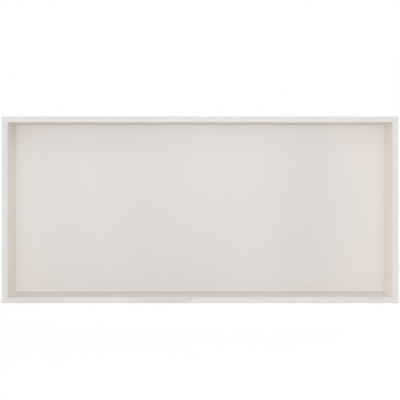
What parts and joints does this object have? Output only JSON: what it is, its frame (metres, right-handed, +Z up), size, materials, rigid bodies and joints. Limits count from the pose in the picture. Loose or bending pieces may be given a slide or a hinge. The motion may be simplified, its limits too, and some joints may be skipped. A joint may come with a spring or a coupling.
{
  "type": "shower niche insert",
  "caption": "Long recessed wall niche for a shower: an open-fronted moulded shell with slightly tapered walls, a shelf that drains to the front and a slim trim round its mouth.",
  "frame": {"origin": "middle of the mouth, on the surface of the tiles: the plane that the back of the trim rests on", "axes": "+X along the width, +Y into the wall, +Z up; the open front faces -Y"},
  "size_m": [0.68, 0.1, 0.32],
  "materials": {
    "shell": "satin"
  },
  "bodies": {
    "root": {"niche_shell": "shell"}
  },
  "joints": []
}
